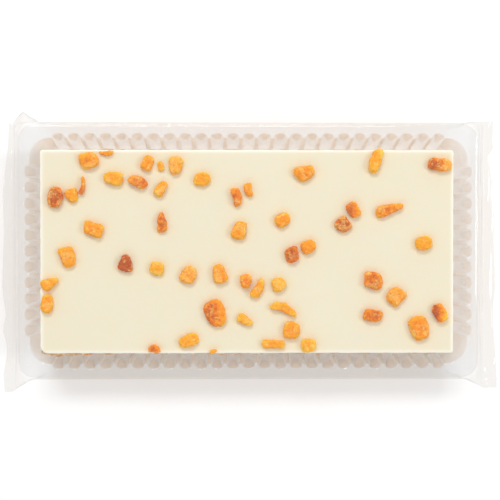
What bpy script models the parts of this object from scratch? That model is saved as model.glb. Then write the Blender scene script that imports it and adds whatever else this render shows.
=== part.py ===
"""A fudge slice in its pack: a slab of crumbly fudge base under cream icing, set with diced dried
apricot, in a clear fluted tray inside a sealed clear wrap. It lies flat, +Z up, its long side along X
and its front towards -Y. The origin is under the middle of the wrap, on the surface it rests on.
"""

import math
from typing import NamedTuple

import bmesh
import bpy
from mathutils import Vector

# Driving sizes, in metres.
SLAB_LENGTH = 0.186
SLAB_WIDTH = 0.0915
BASE_HEIGHT = 0.0176
ICING_HEIGHT = 0.0035
TRAY_LENGTH = 0.2065
TRAY_WIDTH = 0.1138
TRAY_HEIGHT = 0.025
TRAY_WALL = 0.0005
FILM = 0.0003
GAP = 0.0003  # air left between pieces that touch

# Heights that follow from them.
TRAY_Z = FILM + GAP
RIM_Z = TRAY_Z + TRAY_HEIGHT
BASE_Z = TRAY_Z + TRAY_WALL + GAP
ICING_Z = BASE_Z + BASE_HEIGHT + GAP
ICING_TOP_Z = ICING_Z + ICING_HEIGHT
APRICOT_Z = ICING_TOP_Z + GAP
WRAP_TOP_Z = RIM_Z + GAP + FILM

# The slab lies a little off the middle of its tray.
SLAB_MIDDLE = (-0.0006, -0.0004, 0.0)


def clear_scene():
    for old in list(bpy.data.objects):
        bpy.data.objects.remove(old, do_unlink=True)


def material(name, colour, roughness, alpha=1.0):
    made = bpy.data.materials.new(name)
    made.use_nodes = True
    shader = made.node_tree.nodes["Principled BSDF"]
    shader.inputs["Base Color"].default_value = (*colour, 1.0)
    shader.inputs["Roughness"].default_value = roughness
    shader.inputs["Alpha"].default_value = alpha
    return made


def band(mesh, first, second):
    """Faces between two closed rings that have the same number of points."""
    for i, point in enumerate(first):
        j = (i + 1) % len(first)
        mesh.faces.new((point, first[j], second[j], second[i]))


def stack(rings):
    """A closed solid through (outline, height) rings, capped flat at its bottom and top."""
    mesh = bmesh.new()
    loops = [[mesh.verts.new((x, y, z)) for x, y in outline] for outline, z in rings]
    for lower, upper in zip(loops, loops[1:]):
        band(mesh, lower, upper)
    mesh.faces.new(loops[0])
    mesh.faces.new(loops[-1])
    return mesh


def add_piece(name, mesh, finish, place, turn=0.0, crease=40):
    """Makes the named object of a sub-part, placed from the middle of the tray."""
    bmesh.ops.recalc_face_normals(mesh, faces=mesh.faces)
    data = bpy.data.meshes.new(name)
    mesh.to_mesh(data)
    mesh.free()
    data.materials.append(finish)
    data.shade_smooth()
    data.set_sharp_from_angle(angle=math.radians(crease))
    piece = bpy.data.objects.new(name, data)
    bpy.context.collection.objects.link(piece)
    piece.parent = bpy.data.objects["tray_middle"]
    piece.location = place
    piece.rotation_euler.z = math.radians(turn)
    return piece


def rounded_rectangle(length, width, radii, steps=4):
    """Points anticlockwise from the front right corner, as are the four radii."""
    points = []
    corners = ((1, -1, -90), (1, 1, 0), (-1, 1, 90), (-1, -1, 180))
    for (side_x, side_y, start), radius in zip(corners, radii):
        centre = Vector((side_x * (length / 2 - radius), side_y * (width / 2 - radius)))
        for step in range(steps + 1):
            angle = math.radians(start + 90 * step / steps)
            points.append(centre + radius * Vector((math.cos(angle), math.sin(angle))))
    return points


# Base: pressed fudge and crumb. Its cut sides are uneven, and a loose lump stands out at the front left.
BASE_SPACING = 0.0062  # between the points along a side
BASE_CORNER = 0.0026
BASE_EDGE = 0.0006  # rounding at the bottom and top edges
BASE_PROUD = 0.0005  # how far the crumb stands out from under the icing
BASE_UNEVEN = 0.0003
LUMP_X = -0.086
LUMP_REACH = 0.009
LUMP_PROUD = 0.0013


def wander(run, height):
    """An irregular -1 to 1 along a cut side, which changes with the height too."""
    return 0.6 * math.sin(run / 0.0071 + 9 * height) + 0.4 * math.sin(run / 0.0038 + 1.7 - 6 * height)


def base_outline(height, inset=0.0):
    """The base's side at a height from 0, on the tray, to 1, under the icing."""
    corners = rounded_rectangle(SLAB_LENGTH, SLAB_WIDTH, [BASE_CORNER] * 4)
    points = []
    run = 0.0
    for here, there in zip(corners, corners[1:] + corners[:1]):
        side = there - here
        outward = Vector((side.y, -side.x)).normalized()
        steps = max(1, round(side.length / BASE_SPACING))
        for step in range(steps):
            point = here + side * step / steps
            proud = BASE_PROUD * (0.4 + 0.6 * height)
            proud += BASE_UNEVEN * wander(run + side.length * step / steps, height)
            if outward.y < -0.9:
                near = max(0.0, 1 - abs(point.x - LUMP_X) / LUMP_REACH)
                proud += LUMP_PROUD * near * height**3
            points.append(point + outward * (proud - inset))
        run += side.length
    return points


def build_base():
    finish = material("fudge_crumb", (0.56, 0.30, 0.10), 0.8)
    rings = [(base_outline(0.0, BASE_EDGE), BASE_Z)]
    for height in (0.05, 0.5, 0.92):
        rings.append((base_outline(height), BASE_Z + height * BASE_HEIGHT))
    rings.append((base_outline(1.0, BASE_EDGE), BASE_Z + BASE_HEIGHT))
    add_piece("base", stack(rings), finish, SLAB_MIDDLE)


# Icing: one poured sheet, its top edges lightly rounded by the knife and its front left corner worn round.
ICING_EDGE = 0.0007
ICING_CORNERS = (0.0012, 0.0010, 0.0010, 0.0034)


def icing_outline(inset):
    radii = [max(radius - inset, 0.0003) for radius in ICING_CORNERS]
    return rounded_rectangle(SLAB_LENGTH - 2 * inset, SLAB_WIDTH - 2 * inset, radii)


def build_icing():
    finish = material("cream_icing", (0.91, 0.83, 0.61), 0.45)
    rings = [
        (icing_outline(0.3 * ICING_EDGE), ICING_Z),
        (icing_outline(0.0), ICING_Z + 0.5 * ICING_EDGE),
        (icing_outline(0.0), ICING_TOP_Z - ICING_EDGE),
        (icing_outline(0.3 * ICING_EDGE), ICING_TOP_Z - 0.3 * ICING_EDGE),
        (icing_outline(ICING_EDGE), ICING_TOP_Z),
    ]
    add_piece("icing", stack(rings), finish, SLAB_MIDDLE)


# Apricot dice: dried fruit cut small by knife, so no two are alike. Sizes are in millimetres.
class Dice(NamedTuple):
    x: float  # middle, from the middle of the slab
    y: float
    length: float
    width: float
    turn: float  # degrees anticlockwise from +X to the piece's length
    rise: float  # height above the icing
    taper: float = 0.0  # width lost at the far end of the length, as a share
    skew: float = 0.0  # lean of the ends, sideways along the length
    bow: float = 0.0  # sideways bend of the middle, in millimetres
    round_ends: float = 0.0  # width lost at both ends, as a share
    waist: float = 0.0  # width lost in the middle, as a share


DICE = (
    Dice(-70.9, 40.9, 8.6, 8.2, 12, 2.4, taper=0.12, skew=-0.08),
    Dice(-63.3, 44.4, 7.0, 2.2, 2, 1.2, bow=-0.9, round_ends=0.8),
    Dice(-44.8, 39.7, 6.9, 5.9, 62, 2.0, taper=0.25),
    Dice(-39.2, 38.5, 4.6, 3.0, 100, 0.9, taper=0.3),
    Dice(-32.2, 38.6, 8.5, 8.2, -98, 2.4, taper=0.42, round_ends=0.15),
    Dice(-60.1, 32.9, 8.8, 7.7, 172, 2.3, taper=0.38, round_ends=0.1),
    Dice(-49.1, 31.3, 8.6, 5.3, -33, 2.2, skew=0.42),
    Dice(-38.8, 28.2, 7.8, 5.2, 58, 2.1, taper=0.15, waist=0.12),
    Dice(-86.1, 24.5, 10.0, 7.0, 82, 2.4, round_ends=0.35),
    Dice(-78.7, 25.2, 6.8, 7.2, -68, 1.9, taper=0.55),
    Dice(-74.0, 29.8, 8.2, 2.9, 84, 2.0, taper=0.75, bow=-0.5),
    Dice(-20.4, 32.5, 7.7, 6.4, 8, 2.1, round_ends=0.2),
    Dice(-4.9, 24.5, 8.8, 5.0, -78, 2.2, taper=0.15, bow=0.6, waist=0.15),
    Dice(0.5, 27.8, 6.8, 4.2, -78, 1.9, waist=0.2, bow=-0.4),
    Dice(25.7, 35.5, 9.2, 8.2, 24, 2.4, taper=0.35, skew=-0.25),
    Dice(57.8, 40.8, 11.8, 5.8, 71, 2.5, taper=0.12, bow=0.5, round_ends=0.25),
    Dice(86.8, 39.2, 11.4, 6.4, -5, 2.2, taper=0.1, round_ends=0.15),
    Dice(-69.1, 10.1, 9.6, 6.6, -20, 2.3, waist=0.05, skew=-0.12),
    Dice(-38.4, 13.5, 9.6, 6.0, 92, 2.1, taper=0.68, round_ends=0.05),
    Dice(-3.6, 9.6, 8.8, 7.6, 68, 2.4, taper=0.35),
    Dice(15.8, 14.3, 7.4, 6.9, 35, 2.2, taper=0.2, round_ends=0.15),
    Dice(47.7, 18.9, 7.6, 5.8, -64, 2.2, taper=0.15),
    Dice(43.2, 12.1, 7.0, 7.2, -46, 2.2, taper=0.2),
    Dice(64.0, 19.1, 13.2, 6.8, 15, 2.2, taper=0.66, skew=0.3),
    Dice(-80.6, -2.4, 9.8, 7.6, -70, 2.4, taper=0.25),
    Dice(-54.6, -5.1, 8.0, 7.8, 84, 2.5, taper=0.55, skew=0.05),
    Dice(-40.7, -7.5, 6.9, 6.5, -18, 1.9, round_ends=0.1),
    Dice(-26.4, -10.3, 8.4, 7.8, 62, 2.3, taper=0.2, round_ends=0.2),
    Dice(-12.5, -9.9, 8.8, 7.6, 104, 2.4, taper=0.35),
    Dice(-0.8, -13.3, 6.4, 6.8, -92, 2.2, taper=0.5),
    Dice(4.7, -16.6, 9.6, 5.4, 60, 2.3, taper=0.4, bow=-0.6),
    Dice(13.9, -14.7, 6.8, 6.8, 24, 2.1, round_ends=0.2),
    Dice(20.0, -1.2, 6.6, 7.0, 22, 2.4, skew=0.05),
    Dice(27.4, 2.3, 7.0, 6.6, 26, 2.3, taper=0.2),
    Dice(79.5, 3.8, 8.0, 6.6, 4, 2.2, round_ends=0.3),
    Dice(-88.6, -14.0, 8.6, 7.2, 26, 2.2, taper=0.72),
    Dice(-89.9, -23.2, 8.8, 5.6, 82, 2.2, round_ends=0.2),
    Dice(-14.3, -27.6, 12.8, 10.6, -70, 2.5, taper=0.2, round_ends=0.2),
    Dice(-1.1, -30.7, 7.6, 5.4, -26, 1.9, taper=0.55),
    Dice(16.4, -26.0, 13.2, 4.4, -21, 2.1, taper=0.1, bow=1.9, round_ends=0.35),
    Dice(19.9, -35.4, 8.0, 7.6, 80, 2.4, round_ends=0.15),
    Dice(56.7, -13.0, 9.0, 7.8, -14, 2.4, skew=-0.15),
    Dice(66.8, -20.1, 7.4, 9.6, 138, 2.4, taper=0.22),
    Dice(56.5, -28.7, 8.6, 5.8, -12, 2.2, skew=0.2),
    Dice(77.4, -34.4, 11.2, 9.4, -76, 2.5, taper=0.15, round_ends=0.1),
    Dice(86.8, -27.7, 9.0, 6.4, -64, 2.4, taper=0.1, round_ends=0.2),
    Dice(-26.3, -40.0, 9.4, 5.2, 21, 2.1, taper=-0.2, round_ends=0.1),
    Dice(11.7, -41.6, 10.2, 5.0, -3, 2.1, waist=0.25),
    Dice(27.3, -42.1, 6.9, 6.6, 4, 2.2, round_ends=0.15),
    Dice(-41.8, -43.9, 5.9, 3.6, -8, 1.9, bow=0.9, round_ends=0.55),
    Dice(-15.3, -44.7, 3.7, 1.9, 12, 0.9, round_ends=0.3),
)
DICE_SIDES = 12
DICE_SQUARENESS = 0.6  # 1 is an ellipse, 0 is a box
DICE_RINGS = ((0.0, 0.88), (0.42, 1.0), (1.0, 0.76))  # height and width, as shares


def dice_outline(dice, share):
    """The piece's plan outline in metres at one height, where share narrows it all round."""
    points = []
    for side in range(DICE_SIDES):
        angle = math.tau * side / DICE_SIDES
        along = math.copysign(abs(math.cos(angle)) ** DICE_SQUARENESS, math.cos(angle))
        across = math.copysign(abs(math.sin(angle)) ** DICE_SQUARENESS, math.sin(angle))
        width = dice.width * (1 - dice.taper * (1 + along) / 2)
        width *= (1 - dice.round_ends * along**2) * (1 - dice.waist * (1 - along**2))
        y = width / 2 * across * share
        x = dice.length / 2 * along * share + dice.skew * y
        points.append(Vector((x, y + dice.bow * (0.5 - along**2))) / 1000)
    return points


def build_apricots():
    finish = material("dried_apricot", (0.86, 0.32, 0.02), 0.4)
    for number, dice in enumerate(DICE, 1):
        rings = [(dice_outline(dice, share), dice.rise / 1000 * height) for height, share in DICE_RINGS]
        place = Vector((dice.x / 1000, dice.y / 1000, APRICOT_Z)) + Vector(SLAB_MIDDLE)
        add_piece(f"apricot_{number:02d}", stack(rings), finish, place, dice.turn)


# Tray: clear sheet formed over a mould, with a flat rim, a turned-down lip and half-round flutes.
RIM_AT_SIDE = 0.0044  # from the rim's edge in to the top of the flutes
RIM_AT_END = 0.0032
RIM_CORNER = 0.0074
LIP = 0.0012
FLUTE_PITCH = 0.0071
FLUTE_WIDTH = 0.0054
FLUTE_DEPTH = 0.0021
FLUTE_STEPS = 4
FLUTES_ALONG = 25
FLUTES_ACROSS = 11
TOP_CORNER = 0.0092
FLOOR_CORNER = 0.005
CORNER_STEPS = 4
TRAY_DRAFT = 0.0025  # how far the wall leans in from its top to the floor
FLOOR_EDGE = 0.004  # from the wall in to the plain middle of the floor

# Each side's outward direction, the direction along it, and its number of flutes.
SIDES = (
    (Vector((1, 0)), Vector((0, 1)), FLUTES_ACROSS),
    (Vector((0, 1)), Vector((-1, 0)), FLUTES_ALONG),
    (Vector((-1, 0)), Vector((0, -1)), FLUTES_ACROSS),
    (Vector((0, -1)), Vector((1, 0)), FLUTES_ALONG),
)


def tray_outline(half_length, half_width, corner, flute_width=0.0):
    """The tray in plan, anticlockwise, as groups of points: one group for each flute's place, fluted or
    plain, and one for each point of the round corners."""
    groups = []
    for out, along, flutes in SIDES:
        reach, run = (half_length, half_width) if out.x else (half_width, half_length)
        for flute in range(flutes):
            place = out * reach + along * (flute - (flutes - 1) / 2) * FLUTE_PITCH
            group = [place]
            if flute_width:
                angles = [math.pi * (1 - step / FLUTE_STEPS) for step in range(FLUTE_STEPS + 1)]
                bulge = [out * FLUTE_DEPTH * math.sin(angle) for angle in angles]
                spread = [along * flute_width / 2 * math.cos(angle) for angle in angles]
                group = [place + a + b for a, b in zip(bulge, spread)]
            groups.append(group)
        centre = out * (reach - corner) + along * (run - corner)
        for step in range(CORNER_STEPS + 1):
            angle = math.pi / 2 * step / CORNER_STEPS
            groups.append([centre + corner * (out * math.cos(angle) + along * math.sin(angle))])
    return groups


def fluted_ring(mesh, z, inset, corner, thick):
    """The wall at one height: its inner face, or its outer face where thick is the sheet's thickness."""
    half_length = TRAY_LENGTH / 2 - RIM_AT_END - FLUTE_DEPTH - inset + thick
    half_width = TRAY_WIDTH / 2 - RIM_AT_SIDE - FLUTE_DEPTH - inset + thick
    groups = tray_outline(half_length, half_width, corner, FLUTE_WIDTH + 2 * thick)
    return [[mesh.verts.new((x, y, z)) for x, y in group] for group in groups]


def plain_ring(mesh, z, inset, corner):
    groups = tray_outline(TRAY_LENGTH / 2 - inset[0], TRAY_WIDTH / 2 - inset[1], corner)
    return [[mesh.verts.new((x, y, z)) for x, y in group] for group in groups]


def joined(groups):
    return [point for group in groups for point in group]


def flat_strip(mesh, fluted, plain):
    """Level faces between a fluted ring and a plain one, each flute filled by a fan."""
    for i, group in enumerate(fluted):
        following, own, after = fluted[(i + 1) % len(fluted)], plain[i][0], plain[(i + 1) % len(plain)][0]
        for first, second in zip(group, group[1:]):
            mesh.faces.new((first, second, own))
        mesh.faces.new((group[-1], following[0], after, own))


def build_tray():
    finish = material("clear_tray", (0.93, 0.93, 0.92), 0.1, alpha=0.25)
    mesh = bmesh.new()
    lip_inset = (TRAY_WALL, TRAY_WALL)
    floor_inset = (RIM_AT_END + TRAY_DRAFT + FLOOR_EDGE, RIM_AT_SIDE + TRAY_DRAFT + FLOOR_EDGE)
    lips = []
    for thick, floor_z, rim_z in ((0.0, TRAY_WALL, TRAY_HEIGHT), (TRAY_WALL, 0.0, TRAY_HEIGHT - TRAY_WALL)):
        floor = fluted_ring(mesh, floor_z, TRAY_DRAFT, FLOOR_CORNER, thick)
        top = fluted_ring(mesh, rim_z, 0.0, TOP_CORNER, thick)
        panel = plain_ring(mesh, floor_z, floor_inset, FLOOR_CORNER / 2)
        rim_inset = lip_inset if thick else (0.0, 0.0)
        rim = plain_ring(mesh, rim_z, rim_inset, RIM_CORNER - rim_inset[0])
        lip = plain_ring(mesh, TRAY_HEIGHT - LIP, rim_inset, RIM_CORNER - rim_inset[0])
        band(mesh, joined(floor), joined(top))
        flat_strip(mesh, floor, panel)
        flat_strip(mesh, top, rim)
        band(mesh, joined(rim), joined(lip))
        middle = mesh.verts.new((0, 0, floor_z))
        edge = joined(panel)
        for i, point in enumerate(edge):
            mesh.faces.new((middle, edge[i - 1], point))
        lips.append(joined(lip))
    band(mesh, *lips)
    add_piece("tray", mesh, finish, (0, 0, TRAY_Z))


# Wrap: a tube of clear film pulled tight over the rim. Both ends are flattened into fins, whose corners
# stick out.
SEAL_Z = 0.013
SEAL_HALF = 0.0005  # half the thickness of a fin
WRAP_HALF = TRAY_WIDTH / 2 + GAP + FILM
WRAP_REACH = TRAY_LENGTH / 2 + GAP + FILM
FOOT_HALF = 0.0512
FOOT_REACH = 0.0989
FULL_REACH = 0.090  # up to here the tube keeps its full section
EAR_REACH = 0.103
ROOT_REACH = 0.1078  # where the two sheets meet
ROW_SPACES = 16
WRAP_CORNER = 0.0062  # of the top sheet round the rim
SHOULDER_DROP = 0.0022  # the film hangs plumb past the rim's lip

# Half-widths (front, back) of the ears beside the rim and of the fins' roots, at the left and the right end.
EARS = {-1: (0.0606, 0.0632), 1: (0.0596, 0.0582)}
ROOTS = {-1: (0.0647, 0.0580), 1: (0.0632, 0.0592)}

# The ragged cut edge of each fin, front to back: (y, reach) from the middle of the tray, in millimetres.
TIPS = {
    -1: ((-64.7, 111.2), (-57, 112.1), (-48, 110.4), (-43, 110.4), (-36, 112.4), (-30, 110.8), (-17, 112.6),
         (8, 111.6), (25, 112.2), (33, 111.4), (46, 109.8), (58, 109.0)),
    1: ((-64.7, 114.5), (-52, 114.0), (-36, 112.7), (-24, 112.6), (-17, 113.4), (3, 112.8), (18, 113.1),
        (25, 111.1), (31, 111.8), (44, 110.0), (46, 112.2), (60, 112.2)),
}

# The tray stands where the wrap, with its fins and ears, comes out in the middle.
WRAP_FRONT = max(front for front, back in (*EARS.values(), *ROOTS.values()))
WRAP_BACK = max(back for front, back in (*EARS.values(), *ROOTS.values()))
WRAP_LEFT, WRAP_RIGHT = (max(reach for y, reach in TIPS[side]) / 1000 for side in (-1, 1))
TRAY_MIDDLE = ((WRAP_LEFT - WRAP_RIGHT) / 2, (WRAP_FRONT - WRAP_BACK) / 2, 0.0)


class Row(NamedTuple):
    """Points across the tube at one height, from the front to the back. The reach may be a function of y."""

    reach: object
    z: float
    front: float
    back: float


def rim_reach(y):
    """How far the tight top sheet reaches at y, round the rim's corners."""
    past = min(max(0.0, abs(y) - WRAP_HALF + WRAP_CORNER), WRAP_CORNER)
    return WRAP_REACH - WRAP_CORNER + math.sqrt(WRAP_CORNER**2 - past**2)


def tip_reach(side):
    def reach(y):
        places = TIPS[side]
        for (y0, x0), (y1, x1) in zip(places, places[1:]):
            if y * 1000 <= y1:
                share = max(0.0, (y * 1000 - y0) / (y1 - y0))
                return (x0 + (x1 - x0) * share) / 1000
        return places[-1][1] / 1000

    return reach


def wrap_sections(side):
    """(top, shoulder, ridge, foot) rows of each loop from the full section out to the cut edge."""
    ear_front, ear_back = EARS[side]
    front, back = ROOTS[side]
    half = FOOT_HALF + (WRAP_HALF - FOOT_HALF) * SEAL_Z / (WRAP_TOP_Z - SHOULDER_DROP)
    shoulder_z = WRAP_TOP_Z - SHOULDER_DROP
    full = (
        Row(FULL_REACH, WRAP_TOP_Z, WRAP_HALF, WRAP_HALF),
        Row(FULL_REACH, shoulder_z, WRAP_HALF, WRAP_HALF),
        Row(FULL_REACH, SEAL_Z, half, half),
        Row(FULL_REACH, 0.0, FOOT_HALF, FOOT_HALF),
    )
    corner_reach = WRAP_REACH - WRAP_CORNER
    end = (
        Row(rim_reach, WRAP_TOP_Z, WRAP_HALF, WRAP_HALF),
        Row(corner_reach + 0.1 * WRAP_CORNER, shoulder_z, WRAP_HALF + FILM, WRAP_HALF + FILM),
        Row(EAR_REACH, SEAL_Z, ear_front, ear_back),
        Row(FOOT_REACH, 0.0, FOOT_HALF - FLOOR_CORNER / 3, FOOT_HALF - FLOOR_CORNER / 3),
    )
    sections = [full, end]
    for reach in (ROOT_REACH, tip_reach(side)):
        sections.append((
            Row(reach, SEAL_Z + SEAL_HALF, front - 2 * SEAL_HALF, back - 2 * SEAL_HALF),
            Row(reach, SEAL_Z + SEAL_HALF, front - SEAL_HALF, back - SEAL_HALF),
            Row(reach, SEAL_Z, front, back),
            Row(reach, SEAL_Z - SEAL_HALF, front - 2 * SEAL_HALF, back - 2 * SEAL_HALF),
        ))
    return sections


def loop_points(side, rows, wall, shorten):
    """One closed loop round the tube, moved in by wall and drawn back from the end by shorten."""

    def point(row, y, lift):
        reach = row.reach(y) if callable(row.reach) else row.reach
        return Vector((side * (reach - shorten), y, row.z + lift))

    def across(row, lift):
        """Closest together near the two sides, where the sheet rounds the rim's corners."""
        middle = (row.back - row.front) / 2
        half = (row.back + row.front) / 2 - wall
        angles = [math.pi * (i / ROW_SPACES - 0.5) for i in range(ROW_SPACES + 1)]
        return [point(row, middle + half * math.sin(angle), lift) for angle in angles]

    top, shoulder, ridge, foot = rows
    return [
        *across(foot, wall),
        point(ridge, ridge.back - wall, 0.0),
        point(shoulder, shoulder.back - wall, -wall),
        *reversed(across(top, -wall)),
        point(shoulder, wall - shoulder.front, -wall),
        point(ridge, wall - ridge.front, 0.0),
    ]


def build_wrap():
    finish = material("clear_film", (0.95, 0.95, 0.95), 0.1, alpha=0.15)
    mesh = bmesh.new()
    ends = []
    for wall in (0.0, FILM):
        loops = []
        for side in (-1, 1):
            sections = wrap_sections(side)
            shorten = [wall] * (len(sections) - 1) + [0.0]
            rings = [loop_points(side, rows, wall, back) for rows, back in zip(sections, shorten)]
            loops += [rings[::-1], rings][side > 0]
        made = [[mesh.verts.new(point) for point in ring] for ring in loops]
        for first, second in zip(made, made[1:]):
            band(mesh, first, second)
        ends.append((made[0], made[-1]))
    for outer, inner in zip(*ends):
        band(mesh, outer, inner)
    add_piece("wrap", mesh, finish, (0, 0, 0), crease=25)


clear_scene()
tray_middle = bpy.data.objects.new("tray_middle", None)
bpy.context.collection.objects.link(tray_middle)
tray_middle.location = TRAY_MIDDLE
build_base()
build_icing()
build_apricots()
build_tray()
build_wrap()
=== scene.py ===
"""The looks of a packed fudge slice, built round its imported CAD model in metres, +Z up.

The sections follow the slice as it is made and packed: base, icing, fruit, crumbs, tray, film, and then
the floor, lights and camera.
"""

import math
import random
from typing import NamedTuple

import bmesh
import bpy
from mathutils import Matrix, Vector, kdtree, noise


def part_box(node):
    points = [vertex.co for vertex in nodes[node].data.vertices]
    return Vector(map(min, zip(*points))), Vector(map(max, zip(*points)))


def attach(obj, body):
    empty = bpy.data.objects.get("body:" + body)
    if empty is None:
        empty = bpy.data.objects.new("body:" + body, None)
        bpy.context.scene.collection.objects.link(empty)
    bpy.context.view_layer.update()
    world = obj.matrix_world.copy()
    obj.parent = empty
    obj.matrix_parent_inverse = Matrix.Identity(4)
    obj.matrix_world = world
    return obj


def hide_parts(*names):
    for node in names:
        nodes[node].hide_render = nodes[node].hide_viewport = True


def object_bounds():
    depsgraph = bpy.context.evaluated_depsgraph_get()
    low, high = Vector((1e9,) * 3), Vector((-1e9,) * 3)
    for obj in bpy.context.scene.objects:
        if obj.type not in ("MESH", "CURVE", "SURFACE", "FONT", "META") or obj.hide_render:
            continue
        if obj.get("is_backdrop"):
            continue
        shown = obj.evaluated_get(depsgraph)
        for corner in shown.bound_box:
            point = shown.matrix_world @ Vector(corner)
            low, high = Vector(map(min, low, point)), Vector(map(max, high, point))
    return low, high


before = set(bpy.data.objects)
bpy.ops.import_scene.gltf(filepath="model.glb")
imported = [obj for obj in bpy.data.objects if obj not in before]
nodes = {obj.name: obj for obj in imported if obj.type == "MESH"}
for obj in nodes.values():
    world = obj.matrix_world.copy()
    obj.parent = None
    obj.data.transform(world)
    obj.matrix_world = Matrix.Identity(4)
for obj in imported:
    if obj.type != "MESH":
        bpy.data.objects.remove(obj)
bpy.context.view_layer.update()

# --- Fudge base -------------------------------------------------------------------------------------
# Golden fudge and biscuit crumb, pressed into a slab about 18 mm deep and cut with a knife. The cut
# sides are crumbly, and stand a little proud of the icing.
BASE_VOXEL = 0.0009
BASE_EDGE = 0.0012
CLUMP_SIZE = 0.0042  # of the pressed clumps on the cut sides
CLUMP_RELIEF = 0.0011
GRAIN_SIZE = 0.0013
GRAIN_RELIEF = 0.0005
FRONT_LUMP = 0.0011  # the loose lump at the front left stands out this much further
LUMP_REACH = 0.011
PROUD_FRONT = 0.0004  # the front cut bellies out under the icing
TUCK = 0.0002  # the base rises into the icing, so that no gap shows between them
SIDE_SHARE = 0.98  # a point further out than this share of the half-lengths is on a cut side
LAP_KEPT = 0.3  # share of the solid base's lap past the icing that is left before the relief
CRUMB_TONES = ((0.30, (0.42, 0.19, 0.060)), (0.48, (0.66, 0.37, 0.150)), (0.68, (0.86, 0.60, 0.320)))
SUGAR_FLECK = (0.94, 0.76, 0.50)
FLECK_LEVEL = 0.63


def deselect():
    if bpy.context.object and bpy.context.object.mode != "OBJECT":
        bpy.ops.object.mode_set(mode="OBJECT")
    bpy.ops.object.select_all(action="DESELECT")


def activate(piece):
    deselect()
    piece.select_set(True)
    bpy.context.view_layer.objects.active = piece
    return piece


def apply_modifier(piece, kind, **settings):
    """Adds a modifier with its settings and applies it at once."""
    activate(piece)
    modifier = piece.modifiers.new(kind.title(), kind)
    for name, value in settings.items():
        setattr(modifier, name, value)
    bpy.ops.object.modifier_apply(modifier=modifier.name)


def block(name, low, high):
    """A primitive box between two corners, with its place in its mesh."""
    deselect()
    bpy.ops.mesh.primitive_cube_add(size=1, location=(low + high) / 2, scale=high - low)
    bpy.ops.object.transform_apply(location=True, rotation=True, scale=True)
    piece = bpy.context.object
    piece.name = piece.data.name = name
    return piece


def grit(point, size, seed):
    """Soft lumps of about the given size, from -1 to 1."""
    return noise.noise(point / size + Vector((seed, 2 * seed, 3 * seed)))


base_low, base_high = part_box("base")
icing_low, icing_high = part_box("icing")
slab_middle = (icing_low + icing_high) / 2
margin = Vector((icing_low.x - base_low.x, icing_low.y - base_low.y, 0)) * LAP_KEPT
base = block("fudge_base", Vector((icing_low.x, icing_low.y, base_low.z)) - margin,
             Vector((icing_high.x, icing_high.y, icing_low.z + TUCK)) + margin)
apply_modifier(base, "BEVEL", width=BASE_EDGE, segments=2)
apply_modifier(base, "REMESH", mode="VOXEL", voxel_size=BASE_VOXEL)
slab_half = (icing_high - icing_low) / 2
for vertex in base.data.vertices:
    place = vertex.co - slab_middle
    out = Vector((place.x / slab_half.x, place.y / slab_half.y))
    if max(abs(out.x), abs(out.y)) < SIDE_SHARE:
        continue
    side = Vector((math.copysign(abs(out.x) > SIDE_SHARE, out.x),
                   math.copysign(abs(out.y) > SIDE_SHARE, out.y), 0))
    up = (vertex.co.z - base_low.z) / (base_high.z - base_low.z)
    clumps = 1 - 2 * noise.voronoi(vertex.co / CLUMP_SIZE)[0][0]
    push = CLUMP_RELIEF * 0.5 * clumps + GRAIN_RELIEF * grit(vertex.co, GRAIN_SIZE, seed=4)
    if side.y < 0:
        push += PROUD_FRONT * up
        near = max(0.0, 1 - abs(vertex.co.x - icing_low.x - LUMP_REACH) / LUMP_REACH)
        push += FRONT_LUMP * near * up**2
    vertex.co += side * push
base.data.shade_smooth()


def new_material(name):
    made = bpy.data.materials.new(name)
    made.use_nodes = True
    tree = made.node_tree
    return made, tree, tree.nodes["Principled BSDF"]


def add_node(tree, kind, **settings):
    """Adds a shader node: inputs are set by name or number, attributes by name."""
    made = tree.nodes.new(kind)
    inputs = settings.pop("inputs", {})
    for name, value in settings.items():
        setattr(made, name, value)
    for name, value in inputs.items():
        made.inputs[name].default_value = value
    return made


def add_ramp(tree, source, stops):
    """A colour ramp fed by source, with (position, colour) stops."""
    ramp = tree.nodes.new("ShaderNodeValToRGB")
    stripes = ramp.color_ramp.elements
    while len(stripes) < len(stops):
        stripes.new(0.5)
    for stripe, (position, colour) in zip(stripes, stops):
        stripe.position = position
        stripe.color = (*colour, 1.0)
    tree.links.new(source, ramp.inputs["Fac"])
    return ramp.outputs["Color"]


def mix_colours(tree, share, first, second, blend="MIX"):
    """Mixes two colours by a share; each of the three is a socket or a value."""
    mixer = add_node(tree, "ShaderNodeMix", data_type="RGBA", blend_type=blend)
    for number, value in ((0, share), (6, first), (7, second)):
        if isinstance(value, bpy.types.NodeSocket):
            tree.links.new(value, mixer.inputs[number])
        elif number:
            mixer.inputs[number].default_value = (*value, 1.0)
        else:
            mixer.inputs[number].default_value = value
    return mixer.outputs[2]


def calculate(tree, operation, *values):
    """A Math node on sockets or numbers."""
    node = add_node(tree, "ShaderNodeMath", operation=operation)
    for number, value in enumerate(values):
        if isinstance(value, bpy.types.NodeSocket):
            tree.links.new(value, node.inputs[number])
        else:
            node.inputs[number].default_value = value
    return node.outputs[0]


def add_noise(tree, scale, detail=3.0, roughness=0.55, where=None):
    """A noise texture on Object coordinates, or on another vector, as its value's socket."""
    texture = add_node(tree, "ShaderNodeTexNoise",
                       inputs={"Scale": scale, "Detail": detail, "Roughness": roughness})
    if where is None:
        where = add_node(tree, "ShaderNodeTexCoord").outputs["Object"]
    tree.links.new(where, texture.inputs["Vector"])
    return texture.outputs["Fac"]


def add_bump(tree, height, distance, strength=1.0):
    bump = add_node(tree, "ShaderNodeBump", inputs={"Distance": distance, "Strength": strength})
    tree.links.new(height, bump.inputs["Height"])
    return bump.outputs["Normal"]


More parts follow.
